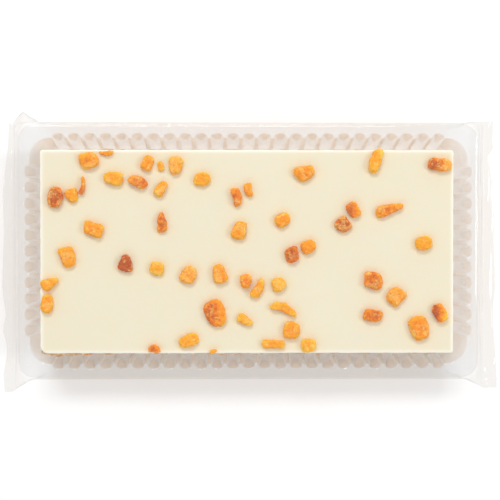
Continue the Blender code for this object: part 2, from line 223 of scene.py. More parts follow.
def build_grain():
    """The grain group: fine even relief, for any finish."""
    group = bpy.data.node_groups.new("grain", "ShaderNodeTree")
    for name in ("Scale", "Detail", "Distance", "Strength"):
        group.interface.new_socket(name, in_out="INPUT", socket_type="NodeSocketFloat")
    group.interface.new_socket("Normal", in_out="OUTPUT", socket_type="NodeSocketVector")
    given = group.nodes.new("NodeGroupInput")
    texture = add_node(group, "ShaderNodeTexNoise", inputs={"Roughness": 0.55})
    group.links.new(add_node(group, "ShaderNodeTexCoord").outputs["Object"], texture.inputs["Vector"])
    bump = group.nodes.new("ShaderNodeBump")
    for name in ("Scale", "Detail"):
        group.links.new(given.outputs[name], texture.inputs[name])
    for name in ("Distance", "Strength"):
        group.links.new(given.outputs[name], bump.inputs[name])
    group.links.new(texture.outputs["Fac"], bump.inputs["Height"])
    group.links.new(bump.outputs["Normal"], group.nodes.new("NodeGroupOutput").inputs["Normal"])
    return group


grain_group = build_grain()


def add_grain(tree, scale, detail, distance, strength=1.0):
    return add_node(tree, "ShaderNodeGroup", node_tree=grain_group, inputs={
        "Scale": scale, "Detail": detail, "Distance": distance, "Strength": strength}).outputs["Normal"]


crumb_finish, tree, shader = new_material("fudge_crumb")
crumb_colour = add_ramp(tree, add_noise(tree, 260, 5, 0.62), CRUMB_TONES)
flecks = calculate(tree, "GREATER_THAN", add_noise(tree, 900, 2), FLECK_LEVEL)
crumb_colour = mix_colours(tree, flecks, crumb_colour, SUGAR_FLECK)
tree.links.new(crumb_colour, shader.inputs["Base Color"])
shader.inputs["Roughness"].default_value = 0.62
shader.inputs["Subsurface Weight"].default_value = 0.15
shader.inputs["Subsurface Radius"].default_value = (0.004, 0.002, 0.001)
shader.inputs["Subsurface Scale"].default_value = 0.5
tree.links.new(add_grain(tree, scale=1400, detail=4, distance=0.0003), shader.inputs["Normal"])
base.data.materials.append(crumb_finish)
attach(base, "root")
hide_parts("base")

# --- Cream icing ------------------------------------------------------------------------------------
# A poured sheet of cream-white fudge icing, set smooth and cut with the slab. The fruit has sunk into
# it, so the icing dips a little round each piece; the knife rounds its edges, and one corner is worn.
# Round each piece a painted warm glow stands in for light bounced off the fruit onto the icing, and the
# paler band along the cut edges is a painted highlight.
ICING_CELLS = (232, 114)
ICING_EDGE = 0.00055
ICING_SINK = 0.0004  # the icing laps down over the base's top
CORNER_RADII = {(1, -1): 0.0012, (1, 1): 0.0010, (-1, 1): 0.0010, (-1, -1): 0.0034}
POOL_REACH = 0.0016
POOL_DEPTH = 0.00035
NICK_Y = 0.0155  # a small nick in the left edge, from the middle towards the front
NICK_REACH = 0.0014
NICK_DEPTH = 0.0007
CUT_WOBBLE = 0.00012
OUTLINE_BAND = 0.0004  # a point nearer the outline than this is on it
# The paler band along the cut edges is a painted highlight, where the rounded edges catch the light.
EDGE_HIGHLIGHT_BAND = 3.2 * ICING_EDGE  # width of the paler band along the cut edges
SWELL = 0.00010  # of the poured top
RIPPLE = 0.00004
CREAM = (0.838, 0.767, 0.575)
PALE_CREAM = (0.854, 0.791, 0.610)
# Painted warm glow of light bounced off the fruit onto the icing round each piece, and its strength.
FRUIT_GLOW = (0.93, 0.68, 0.30)
FRUIT_GLOW_SHARE = 0.30
# Colour and strength of the painted highlight along the cut edges.
EDGE_HIGHLIGHT_CREAM = (0.99, 0.95, 0.86)
EDGE_HIGHLIGHT_SHARE = 0.90

fruit_names = sorted(name for name in nodes if name.startswith("apricot_"))
fruit_edges = kdtree.KDTree(sum(len(nodes[name].data.vertices) for name in fruit_names))
for name in fruit_names:
    for vertex in nodes[name].data.vertices:
        fruit_edges.insert((vertex.co.x, vertex.co.y, 0), 0)
fruit_edges.balance()

deselect()
bpy.ops.mesh.primitive_grid_add(x_subdivisions=ICING_CELLS[0], y_subdivisions=ICING_CELLS[1], size=1,
                                location=(slab_middle.x, slab_middle.y, icing_high.z))
bpy.ops.transform.resize(value=(2 * slab_half.x, 2 * slab_half.y, 1))
bpy.ops.object.transform_apply(location=True, rotation=True, scale=True)
icing = bpy.context.object
icing.name = icing.data.name = "cream_icing"
for vertex in icing.data.vertices:
    place = vertex.co - slab_middle
    quarter = (1 if place.x > 0 else -1, 1 if place.y > 0 else -1)
    radius = CORNER_RADII[quarter]
    over = Vector((abs(place.x) - slab_half.x + radius, abs(place.y) - slab_half.y + radius))
    if min(over) > 0:
        over *= max(over) / over.length
        place.x = quarter[0] * (slab_half.x - radius + over.x)
        place.y = quarter[1] * (slab_half.y - radius + over.y)
        vertex.co.xy = slab_middle.xy + place.xy
    if abs(place.x) > slab_half.x - OUTLINE_BAND or abs(place.y) > slab_half.y - OUTLINE_BAND:
        wobble = CUT_WOBBLE * (grit(vertex.co, 0.006, seed=7) + 0.6 * grit(vertex.co, 0.0023, seed=8))
        along_x = abs(place.x) / slab_half.x > abs(place.y) / slab_half.y
        vertex.co += Vector((quarter[0] * along_x, quarter[1] * (not along_x), 0)) * wobble
        near = max(0.0, 1 - abs(place.y + NICK_Y) / NICK_REACH)
        if place.x < 0 and along_x:
            vertex.co.x += NICK_DEPTH * near

bpy.ops.object.mode_set(mode="EDIT")
bpy.ops.mesh.select_all(action="SELECT")
bpy.ops.mesh.extrude_region_move(
    TRANSFORM_OT_translate={"value": (0, 0, icing_low.z - icing_high.z - ICING_SINK)})
bpy.ops.mesh.select_all(action="SELECT")
bpy.ops.mesh.normals_make_consistent(inside=False)
bpy.ops.object.mode_set(mode="OBJECT")
shell = bmesh.new()
shell.from_mesh(icing.data)
top_edges = [edge for edge in shell.edges if edge.verts[0].co.z > icing_high.z - 1e-6
             and len(edge.link_faces) == 2
             and abs(edge.link_faces[0].normal.z - edge.link_faces[1].normal.z) > 0.5]
bmesh.ops.bevel(shell, geom=top_edges, offset=ICING_EDGE, segments=3, profile=0.55, affect="EDGES",
                clamp_overlap=False)
shell.to_mesh(icing.data)
shell.free()

fruit_glows = icing.data.attributes.new("fruit_nearness", "FLOAT", "POINT")
edge_highlights = icing.data.attributes.new("edge_highlight", "FLOAT", "POINT")
for vertex in icing.data.vertices:
    if vertex.co.z < icing_high.z - ICING_EDGE * 1.01:
        continue
    place = vertex.co - slab_middle
    edge = min(slab_half.x - abs(place.x), slab_half.y - abs(place.y))
    edge_highlights.data[vertex.index].value = max(0.0, 1 - edge / EDGE_HIGHLIGHT_BAND)
    gap = fruit_edges.find((vertex.co.x, vertex.co.y, 0))[2]
    fruit_nearness = math.exp(-(gap / POOL_REACH) ** 2)
    # Nearness to the fruit, which sets the painted glow of light bounced off it.
    fruit_glows.data[vertex.index].value = math.exp(-gap / (1.5 * POOL_REACH))
    swell = SWELL * grit(vertex.co, 0.035, seed=5) + RIPPLE * grit(vertex.co, 0.009, seed=6)
    vertex.co.z += min(edge / 0.004, 1) * swell - POOL_DEPTH * fruit_nearness * min(edge / 0.002, 1)
icing.data.shade_smooth()

icing_finish, tree, shader = new_material("cream_icing")
cloud = add_noise(tree, 28, 3, 0.5)
icing_colour = mix_colours(tree, cloud, CREAM, PALE_CREAM)
# Painted warm glow round each piece of fruit, standing in for light bounced off it onto the icing.
glow_share = add_node(tree, "ShaderNodeAttribute", attribute_name="fruit_nearness").outputs["Fac"]
painted_glow = calculate(tree, "MULTIPLY", glow_share, FRUIT_GLOW_SHARE)
icing_colour = mix_colours(tree, painted_glow, icing_colour, FRUIT_GLOW)
# Painted highlight: a paler band along the cut edges, where the rounded edges catch the light.
highlight_share = add_node(tree, "ShaderNodeAttribute", attribute_name="edge_highlight").outputs["Fac"]
painted_highlight = calculate(tree, "MULTIPLY", highlight_share, EDGE_HIGHLIGHT_SHARE)
icing_colour = mix_colours(tree, painted_highlight, icing_colour, EDGE_HIGHLIGHT_CREAM)
tree.links.new(icing_colour, shader.inputs["Base Color"])
shader.inputs["Roughness"].default_value = 0.42
shader.inputs["Subsurface Weight"].default_value = 0.25
shader.inputs["Subsurface Radius"].default_value = (0.006, 0.004, 0.002)
shader.inputs["Subsurface Scale"].default_value = 0.5
grain = add_grain(tree, scale=1100, detail=3, distance=0.00004, strength=0.5)
tree.links.new(grain, shader.inputs["Normal"])
icing.data.materials.append(icing_finish)
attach(icing, "root")
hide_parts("icing")

# --- Diced apricot ----------------------------------------------------------------------------------
# Dried apricot, diced by knife and rolled in flour so that it doesn't stick, then pressed into the
# icing before it sets. Each piece has its own ripeness, from amber to brown, and its own dusting.
FRUIT_VOXEL = 0.00036
FRUIT_SUNK = 0.0013
FRUIT_CEILING = 0.00025  # the film stays this far above the fruit
LUMP_SIZE = 0.0034
LUMP_RELIEF = 0.0009
CREASE_SIZE = 0.0012
CREASE_RELIEF = 0.00042
RIPER_HEART = 0.15  # added to the ripeness at the middle of a piece
PALER_RIM = 0.26
PALER_CREASE = 0.10
APRICOT_TONES = ((0.05, (1.00, 0.58, 0.05)), (0.30, (1.00, 0.43, 0.006)), (0.55, (0.99, 0.33, 0.003)),
                 (0.78, (0.80, 0.20, 0.003)), (1.0, (0.52, 0.095, 0.006)))
FLOUR = (1.00, 0.71, 0.22)  # a thin dusting, with the fruit showing through
THICKEST_FLOUR = 0.90


class Fruit(NamedTuple):
    ripe: float  # 0 is pale amber, 0.5 is bright orange, 1 is dark brown
    dust: float  # share of the skin under flour
    far_ripe: float = -1.0  # ripeness at one side, where it differs
    toward: float = 0.0  # the direction of that side, degrees anticlockwise from +X


FRUITS = (
    Fruit(0.50, 0.35), Fruit(0.46, 0.25), Fruit(0.48, 0.35), Fruit(0.30, 0.45), Fruit(0.45, 0.70),
    Fruit(0.36, 0.25), Fruit(0.78, 0.45, 0.60, 180), Fruit(0.50, 0.40, 0.25, 180), Fruit(0.92, 0.50),
    Fruit(0.38, 0.20), Fruit(0.45, 0.25, 0.85, -90), Fruit(0.34, 0.25), Fruit(0.70, 0.35),
    Fruit(0.50, 0.25), Fruit(0.50, 0.35), Fruit(0.34, 0.25, 0.20, 0), Fruit(0.95, 0.45, 0.50, 0),
    Fruit(0.48, 0.30), Fruit(0.78, 0.30), Fruit(0.46, 0.30), Fruit(0.46, 0.30),
    Fruit(0.85, 0.30, 0.50, 0), Fruit(0.88, 0.50), Fruit(0.62, 0.25), Fruit(0.44, 0.35),
    Fruit(1.05, 0.20), Fruit(0.28, 0.45), Fruit(0.48, 0.55), Fruit(0.50, 0.50), Fruit(0.55, 0.15),
    Fruit(0.38, 0.35), Fruit(0.26, 0.40), Fruit(0.84, 0.12), Fruit(0.50, 0.25), Fruit(0.38, 0.20),
    Fruit(0.36, 0.25), Fruit(0.42, 0.30), Fruit(0.84, 0.25, 0.55, 0), Fruit(0.26, 0.40),
    Fruit(0.34, 0.25), Fruit(0.48, 0.35), Fruit(0.76, 0.35), Fruit(0.52, 0.45), Fruit(0.78, 0.30),
    Fruit(0.56, 0.35), Fruit(1.05, 0.10, 0.30, 0), Fruit(0.34, 0.25), Fruit(0.36, 0.25),
    Fruit(0.24, 0.40), Fruit(0.66, 0.10), Fruit(0.40, 0.30),
)

fruit_finish, tree, shader = new_material("dried_apricot")
ripeness = add_node(tree, "ShaderNodeAttribute", attribute_name="ripeness").outputs["Fac"]
mottle = add_noise(tree, 620, 4, 0.65)
ripeness = calculate(tree, "ADD", ripeness, calculate(tree, "MULTIPLY_ADD", mottle, 1.0, -0.50))
fruit_colour = add_ramp(tree, ripeness, APRICOT_TONES)
flour = add_node(tree, "ShaderNodeAttribute", attribute_name="flour").outputs["Fac"]
specks = add_noise(tree, 1500, 2, 0.6)
patches = add_noise(tree, 330, 2)
veins = calculate(tree, "ABSOLUTE", calculate(tree, "SUBTRACT", specks, 0.5))
veins = calculate(tree, "MAXIMUM", calculate(tree, "MULTIPLY_ADD", veins, -15.0, 1.10), 0.0)
bare = calculate(tree, "MULTIPLY_ADD", flour, -0.36, 0.64)
cover = calculate(tree, "MULTIPLY", calculate(tree, "SUBTRACT", patches, bare), 8.0)
cover = calculate(tree, "MINIMUM", calculate(tree, "MAXIMUM", cover, 0.0), THICKEST_FLOUR)
dusty = calculate(tree, "MULTIPLY", veins, cover)
fruit_colour = mix_colours(tree, dusty, fruit_colour, FLOUR)
tree.links.new(fruit_colour, shader.inputs["Base Color"])
tree.links.new(calculate(tree, "MULTIPLY_ADD", dusty, 0.4, 0.45), shader.inputs["Roughness"])
shader.inputs["Specular IOR Level"].default_value = 0.2
shader.inputs["Subsurface Weight"].default_value = 0.35
shader.inputs["Subsurface Radius"].default_value = (0.0035, 0.0014, 0.0004)
shader.inputs["Subsurface Scale"].default_value = 0.6
tree.links.new(add_bump(tree, calculate(tree, "ADD", specks, patches), 0.00022), shader.inputs["Normal"])

fruit_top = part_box("wrap")[1].z - 0.0003 - FRUIT_CEILING
for number, (name, fruit) in enumerate(zip(fruit_names, FRUITS), 1):
    activate(nodes[name])
    bpy.ops.object.duplicate()
    piece = bpy.context.object
    piece.parent = None
    for key in list(piece.keys()):
        del piece[key]
    piece.name = piece.data.name = f"apricot_dice_{number:02d}"
    piece.data.materials.clear()
    bpy.ops.object.mode_set(mode="EDIT")
    bpy.ops.mesh.select_all(action="SELECT")
    bpy.ops.mesh.remove_doubles(threshold=0.00001)
    bpy.ops.object.mode_set(mode="OBJECT")
    low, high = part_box(name)
    for vertex in piece.data.vertices:
        if vertex.co.z < low.z + 0.0001:
            vertex.co.z = icing_high.z - FRUIT_SUNK
    apply_modifier(piece, "REMESH", mode="VOXEL", voxel_size=FRUIT_VOXEL)
    middle = (low + high) / 2
    half = (high - low) / 2
    normals = [vertex.normal.copy() for vertex in piece.data.vertices]
    ripe = piece.data.attributes.new("ripeness", "FLOAT", "POINT")
    dusting = piece.data.attributes.new("flour", "FLOAT", "POINT")
    heading = Vector((math.cos(math.radians(fruit.toward)), math.sin(math.radians(fruit.toward))))
    for vertex, normal in zip(piece.data.vertices, normals):
        place = vertex.co - middle
        across = Vector((place.x / half.x, place.y / half.y))
        lumps = grit(vertex.co, LUMP_SIZE, number)
        creases = 1 - 2 * abs(grit(vertex.co, CREASE_SIZE, number + 60))
        vertex.co += normal * (LUMP_RELIEF * lumps * 0.6 + CREASE_RELIEF * (creases - 0.6))
        vertex.co.z = min(vertex.co.z, fruit_top)
        tone = fruit.ripe
        if fruit.far_ripe >= 0:
            share = min(max(0.5 + 0.9 * across.dot(heading), 0.0), 1.0)
            tone += (fruit.far_ripe - fruit.ripe) * share
        rim = min(1.0, across.length) ** 3
        tone += RIPER_HEART - PALER_RIM * rim - PALER_CREASE * creases
        ripe.data[vertex.index].value = tone
        dusting.data[vertex.index].value = fruit.dust * (0.75 + 0.5 * max(normal.z, 0.0))
    piece.data.materials.append(fruit_finish)
    piece.data.shade_smooth()
    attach(piece, "root")
    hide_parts(name)

# --- Crumbs -----------------------------------------------------------------------------------------
# Golden fudge crumbs that the knife drew out of the cut sides, most of them at the front left, and small
# bits of apricot that it cut through. They cling to the sides under the icing.
CRUMB_ROUGHNESS = 0.32  # of a crumb's size
DRIFT = 18  # crumbs at the front left
LOOSE = 34  # crumbs along the two long sides
APRICOT_BITS = (
    # place from the slab's middle, depth under the icing, and size, in millimetres
    ((-56.6, 45.9), 0.0, (1.6, 0.7, 0.9)), ((93.4, -5.6), 1.6, (0.7, 1.1, 0.8)),
    ((93.3, 9.1), 2.2, (0.6, 0.9, 0.8)), ((93.5, 18.9), 1.0, (0.7, 0.7, 0.7)),
    ((-72.3, -46.3), 0.8, (4.3, 0.9, 1.2)), ((-74.0, -46.6), 2.2, (1.4, 0.8, 0.8)),
)
BIT_RIPENESS = 0.75
BIT_FLOUR = 0.2


def nugget(place, size, seed):
    """One rough crumb. Place is from the slab's middle, and with the size in millimetres."""
    deselect()
    bpy.ops.mesh.primitive_ico_sphere_add(subdivisions=3, radius=0.5, scale=size)
    bpy.ops.object.transform_apply(location=True, rotation=True, scale=True)
    piece = bpy.context.object
    for vertex in piece.data.vertices:
        vertex.co *= 1 + CRUMB_ROUGHNESS * (grit(vertex.co, 0.45, seed) + 0.6 * grit(vertex.co, 0.2, seed))
        vertex.co = (vertex.co + Vector(place)) / 1000 + slab_middle
    piece.data.shade_smooth()
    return piece


def join(name, pieces, finish):
    """Makes one piece of many, with the one finish."""
    deselect()
    for piece in pieces:
        piece.select_set(True)
    bpy.context.view_layer.objects.active = pieces[0]
    bpy.ops.object.join()
    joined = bpy.context.object
    joined.name = joined.data.name = name
    joined.data.materials.append(finish)
    return joined


chance = random.Random(11)
golden = []
side_y = slab_half.y * 1000
top_z = (icing_low.z - slab_middle.z) * 1000
for number in range(DRIFT):
    size = chance.uniform(0.5, 1.3)
    spot = (chance.uniform(-90.6, -79.5), -side_y - chance.uniform(0.3, 1.7),
            top_z - chance.uniform(0.3, 3.5))
    golden.append(nugget(spot, (size, size * 0.8, size * 0.8), number))
for number in range(LOOSE):
    size = chance.uniform(0.35, 0.85)
    toward = chance.choice((-1, -1, 1))
    spot = (chance.uniform(-90, 91), toward * (side_y + chance.uniform(0.1, 0.6)),
            top_z - chance.uniform(0.2, 6))
    golden.append(nugget(spot, (size, size * 0.8, size * 0.8), DRIFT + number))
golden_crumbs = join("golden_crumbs", golden, crumb_finish)
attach(golden_crumbs, "root")

bits = []
for number, (place, depth, size) in enumerate(APRICOT_BITS):
    bits.append(nugget((*place, top_z - depth), size, 70 + number))
apricot_bits = join("apricot_bits", bits, fruit_finish)
for name, value in (("ripeness", BIT_RIPENESS), ("flour", BIT_FLOUR)):
    layer = apricot_bits.data.attributes.new(name, "FLOAT", "POINT")
    for index in range(len(apricot_bits.data.vertices)):
        layer.data[index].value = value
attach(apricot_bits, "root")

# --- Tray -------------------------------------------------------------------------------------------
# Clear plastic sheet, vacuum formed over a fluted mould: a flat floor, walls of half-round flutes that
# stiffen it, round plain corners, and a flat rim whose outer edge rolls over.
TRAY_SHEET = 0.00040
FLUTE_PITCH = 0.0071
FLUTE_WIDTH = 0.0054
FLUTE_DEPTH = 0.0021
FLUTES = (25, 11)  # along the long and the short sides
FLUTE_STEPS = 12
RIM_AT_SIDE = 0.0044  # from the rim's edge in to the top of the flutes
RIM_AT_END = 0.0032
WALL_DRAFT = 0.0040
FOOT_CORNER = 0.005
WALL_CORNER = 0.0092
RIM_CORNER = 0.0074
CORNER_STEPS = 12
ROLL = 0.0016  # radius of the rolled edge
RIM_FILLET = 0.0007
FLOOR_FILLET = 0.0008
FLOOR_BORDER = 0.012  # from the wall's foot in to the first ring on the flat floor
FLOOR_CORNER = 0.002
FOOT_FLUTE = 0.9  # a flute's width at the floor, as a share of its full width

tray_low, tray_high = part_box("tray")
tray_middle = (tray_low + tray_high) / 2
tray_half = (tray_high - tray_low) / 2


def tray_ring(inset_end, inset_side, corner, z, flute_width, flute_depth):
    """One level of the tray's wall in plan, anticlockwise: flutes along each side and round corners."""
    sides = ((Vector((1, 0)), Vector((0, 1)), FLUTES[1]), (Vector((0, 1)), Vector((-1, 0)), FLUTES[0]),
             (Vector((-1, 0)), Vector((0, -1)), FLUTES[1]), (Vector((0, -1)), Vector((1, 0)), FLUTES[0]))
    length, width = tray_half.x - inset_end, tray_half.y - inset_side
    points = []
    for out, along, flutes in sides:
        reach, run = (length, width) if out.x else (width, length)
        for flute in range(flutes):
            place = out * reach + along * (flute - (flutes - 1) / 2) * FLUTE_PITCH
            for step in range(FLUTE_STEPS + 1):
                angle = math.pi * (1 - step / FLUTE_STEPS)
                bulge = flute_depth * max(math.sin(angle), 0.0)
                points.append(place + out * bulge + along * flute_width / 2 * math.cos(angle))
        centre = out * (reach - corner) + along * (run - corner)
        for step in range(CORNER_STEPS + 1):
            angle = math.pi / 2 * step / CORNER_STEPS
            points.append(centre + corner * (out * math.cos(angle) + along * math.sin(angle)))
    return [Vector((tray_middle.x + x, tray_middle.y + y, z)) for x, y in points]


floor_z = tray_low.z + TRAY_SHEET
rim_z = tray_high.z
wall_end, wall_side = RIM_AT_END + FLUTE_DEPTH, RIM_AT_SIDE + FLUTE_DEPTH


def wall_ring(inset, corner, z, flute_width, flute_depth=FLUTE_DEPTH):
    """One level of the wall, set in from where its flutes meet the rim."""
    return tray_ring(wall_end + inset, wall_side + inset, corner, z, flute_width, flute_depth)


def rim_ring(inset, z):
    """One level of the rim, which has no flutes."""
    return tray_ring(inset, inset, RIM_CORNER - inset, z, FLUTE_WIDTH, 0.0)


rings = [wall_ring(WALL_DRAFT + FLOOR_BORDER, FLOOR_CORNER, floor_z, FLUTE_WIDTH, 0.0)]
for step in range(5):
    angle = math.pi / 2 * step / 4
    curl = FLOOR_FILLET * (1 - math.sin(angle))
    rings.append(wall_ring(WALL_DRAFT + curl, FOOT_CORNER - curl,
                           floor_z + FLOOR_FILLET * (1 - math.cos(angle)),
                           FLUTE_WIDTH * (FOOT_FLUTE + (1 - FOOT_FLUTE) * math.sin(angle))))
for share in (0.3, 0.6, 0.92):
    rings.append(wall_ring(WALL_DRAFT * (1 - share), FOOT_CORNER + (WALL_CORNER - FOOT_CORNER) * share,
                           floor_z + (rim_z - floor_z) * share, FLUTE_WIDTH))
for step in range(4):
    angle = math.pi / 2 * step / 3
    flare = RIM_FILLET * (1 - math.cos(angle))
    rings.append(wall_ring(-flare, WALL_CORNER + flare, rim_z - RIM_FILLET * (1 - math.sin(angle)),
                           FLUTE_WIDTH + 2 * flare))
for step in range(6):
    angle = math.pi / 2 * step / 5
    rings.append(rim_ring(ROLL * (1 - math.sin(angle)), rim_z - ROLL * (1 - math.cos(angle))))


def skin(name, rings, more_faces):
    """A mesh through rings of equal length, each joined to the next, with more faces that close it."""
    mesh = bpy.data.meshes.new(name)
    count = len(rings[0])
    faces = list(more_faces)
    for start in range(0, (len(rings) - 1) * count, count):
        for i in range(count):
            j = (i + 1) % count
            faces.append((start + i, start + j, start + count + j, start + count + i))
    mesh.from_pydata([point for ring in rings for point in ring], [], faces)
    piece = bpy.data.objects.new(name, mesh)
    bpy.context.collection.objects.link(piece)
    activate(piece)
    bpy.ops.object.mode_set(mode="EDIT")
    bpy.ops.mesh.select_all(action="SELECT")
    bpy.ops.mesh.remove_doubles(threshold=0.000005)
    bpy.ops.mesh.normals_make_consistent(inside=False)
    bpy.ops.object.mode_set(mode="OBJECT")
    return piece


tray = skin("clear_tray", rings, [tuple(range(len(rings[0])))])
apply_modifier(tray, "SOLIDIFY", thickness=TRAY_SHEET, offset=-1, use_even_offset=False)
tray.data.shade_smooth()
tray.data.set_sharp_from_angle(angle=math.radians(50))


SLANT_POWER = 3.0  # how fast a sheet's colour deepens as it is seen more from the side
MIRROR_POWER = 5.0
MIRROR_LEAST = 0.045
MIRROR_GAIN = 0.90


def mix_shaders(tree, share, first, second):
    """Mixes two shaders by a share, which is a socket or a value."""
    mixer = tree.nodes.new("ShaderNodeMixShader")
    if isinstance(share, bpy.types.NodeSocket):
        tree.links.new(share, mixer.inputs[0])
    else:
        mixer.inputs[0].default_value = share
    tree.links.new(first, mixer.inputs[1])
    tree.links.new(second, mixer.inputs[2])
    return mixer.outputs[0]


def clear_sheet(name, tint, deep_tint, veil, veil_colour, roughness, relief, haze=None):
    """Thin clear plastic: seen through head on, mirror-like and deeper in colour at a slant, with a faint
    milky veil. The haze colour tints it further where the haze attribute says. Light for the other
    pieces passes it whole."""
    made = bpy.data.materials.new(name)
    made.use_nodes = True
    tree = made.node_tree
    tree.nodes.clear()
    clear = tree.nodes.new("ShaderNodeBsdfTransparent")
    gloss = add_node(tree, "ShaderNodeBsdfGlossy", inputs={"Roughness": roughness})
    milk = add_node(tree, "ShaderNodeBsdfDiffuse", inputs={"Color": (*veil_colour, 1.0)})
    facing = add_node(tree, "ShaderNodeLayerWeight", inputs={"Blend": 0.5})
    slant = calculate(tree, "POWER", facing.outputs["Facing"], SLANT_POWER)
    seen = mix_colours(tree, slant, tint, deep_tint)
    if haze:
        share = add_node(tree, "ShaderNodeAttribute", attribute_name="haze").outputs["Fac"]
        specks = calculate(tree, "MULTIPLY_ADD", add_noise(tree, 1100, 2), 2.6, -0.3)
        seen = mix_colours(tree, calculate(tree, "MULTIPLY", share, specks), seen, haze)
    tree.links.new(seen, clear.inputs["Color"])
    mirror = calculate(tree, "POWER", facing.outputs["Facing"], MIRROR_POWER)
    mirror = calculate(tree, "MULTIPLY_ADD", mirror, MIRROR_GAIN, MIRROR_LEAST)
    sheet = mix_shaders(tree, mirror, clear.outputs[0], gloss.outputs[0])
    sheet = mix_shaders(tree, veil, sheet, milk.outputs[0])
    rays = tree.nodes.new("ShaderNodeLightPath").outputs["Is Camera Ray"]
    lets_light = tree.nodes.new("ShaderNodeBsdfTransparent")
    sheet = mix_shaders(tree, rays, lets_light.outputs[0], sheet)
    tree.links.new(sheet, tree.nodes.new("ShaderNodeOutputMaterial").inputs["Surface"])
    normal = relief(tree)
    for node in (gloss, milk, facing):
        tree.links.new(normal, node.inputs["Normal"])
    return made


def tray_relief(tree):
    """The faint waviness of formed sheet."""
    return add_grain(tree, scale=120, detail=2, distance=0.0002, strength=0.4)


tray.data.materials.append(clear_sheet(
    "clear_tray", tint=(0.968, 0.974, 0.980), deep_tint=(0.95, 0.925, 0.89), veil=0.02,
    veil_colour=(0.90, 0.86, 0.80), roughness=0.06, relief=tray_relief))
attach(tray, "root")
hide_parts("tray")

# --- Film -------------------------------------------------------------------------------------------
# A tube of clear film drawn tight over the tray. Its two ends are pressed flat between hot jaws into
# fins, cut ragged, with a crimped pattern; spare film stands out at the corners in ears.
SEAL_Z = 0.013
SEAL_HALF = 0.00012
FILM_GAP = 0.0003
WALL_HALF = tray_half.y + 2 * FILM_GAP
RIM_REACH = tray_half.x + 2 * FILM_GAP
FOOT_HALF = 0.0512
FOOT_REACH = 0.0989
FULL_REACH = 0.090
EAR_REACH = 0.103
ROOT_REACH = 0.1078
FILM_CORNER = 0.0068
FILM_ROLL = 0.0019
ACROSS = 64
DOWN = 8
ROLL_STEPS = 5
ROWS = (70, 14, 26, 14)  # of the tube, to the rim, down to the fin's root, and out to its cut edge

# Half-widths (front, back) of the ears beside the rim and of the fins' roots, at each end.
EARS = {-1: (0.0606, 0.0632), 1: (0.0596, 0.0582)}
ROOTS = {-1: (0.0647, 0.0580), 1: (0.0632, 0.0592)}

# The ragged cut edge of each fin, front to back: (y, reach) from the middle of the tray, in millimetres.
TIPS = {
    -1: ((-64.7, 111.2), (-57, 112.1), (-48, 110.4), (-43, 110.4), (-36, 112.4), (-30, 110.8), (-17, 112.6),
         (8, 111.6), (25, 112.2), (33, 111.4), (46, 109.8), (58, 109.0)),
    1: ((-64.7, 114.5), (-52, 114.0), (-36, 112.7), (-24, 112.6), (-17, 113.4), (3, 112.8), (18, 113.1),
        (25, 111.1), (31, 111.8), (44, 110.0), (46, 112.2), (60, 112.2)),
}
film_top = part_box("wrap")[1].z


def rim_reach(y):
    """How far from the middle the film turns down at an end, rounded as the tray's corners are."""
    past = min(max(0.0, abs(y) - WALL_HALF + FILM_CORNER), FILM_CORNER)
    return RIM_REACH - FILM_CORNER + math.sqrt(FILM_CORNER**2 - past**2)


def tip_reach(side, y):
    """How far from the middle a fin's cut edge is."""
    places = TIPS[side]
    for (y0, x0), (y1, x1) in zip(places, places[1:]):
        if y * 1000 <= y1:
            share = max(0.0, (y * 1000 - y0) / (y1 - y0))
            return (x0 + (x1 - x0) * share) / 1000
    return places[-1][1] / 1000


def film_loop(side, foot, ridge, shoulder, top):
    """One closed loop round the tube. Each row is (reach or function of y, z, front, back)."""

    def spot(row, y):
        reach = row[0](y) if callable(row[0]) else row[0]
        return Vector((tray_middle.x + side * reach, tray_middle.y + y, row[1]))

    def across(row):
        middle, half = (row[3] - row[2]) / 2, (row[3] + row[2]) / 2
        angles = [math.pi * (i / ACROSS - 0.5) for i in range(ACROSS + 1)]
        return [spot(row, middle + half * math.sin(angle)) for angle in angles]

    def down(end):
        """From the top row's end over the rolled edge to the shoulder, the ridge and the foot."""
        pick = 3 if end > 0 else 2
        corner, over = spot(top, end * top[pick]), spot(shoulder, end * shoulder[pick])
        points = []
        for step in range(1, ROLL_STEPS + 1):
            angle = math.pi / 2 * step / ROLL_STEPS
            points.append(Vector((corner.x + (over.x - corner.x) * (1 - math.cos(angle)),
                                  corner.y + (over.y - corner.y) * math.sin(angle),
                                  corner.z + (over.z - corner.z) * (1 - math.cos(angle)))))
        last, side_ridge = over, spot(ridge, end * ridge[pick])
        foot_end = spot(foot, end * foot[pick])
        points += [last.lerp(side_ridge, step / DOWN) for step in range(1, DOWN + 1)]
        points += [side_ridge.lerp(foot_end, step / DOWN) for step in range(1, DOWN)]
        return points

    return across(foot) + down(1)[::-1] + across(top)[::-1] + down(-1)


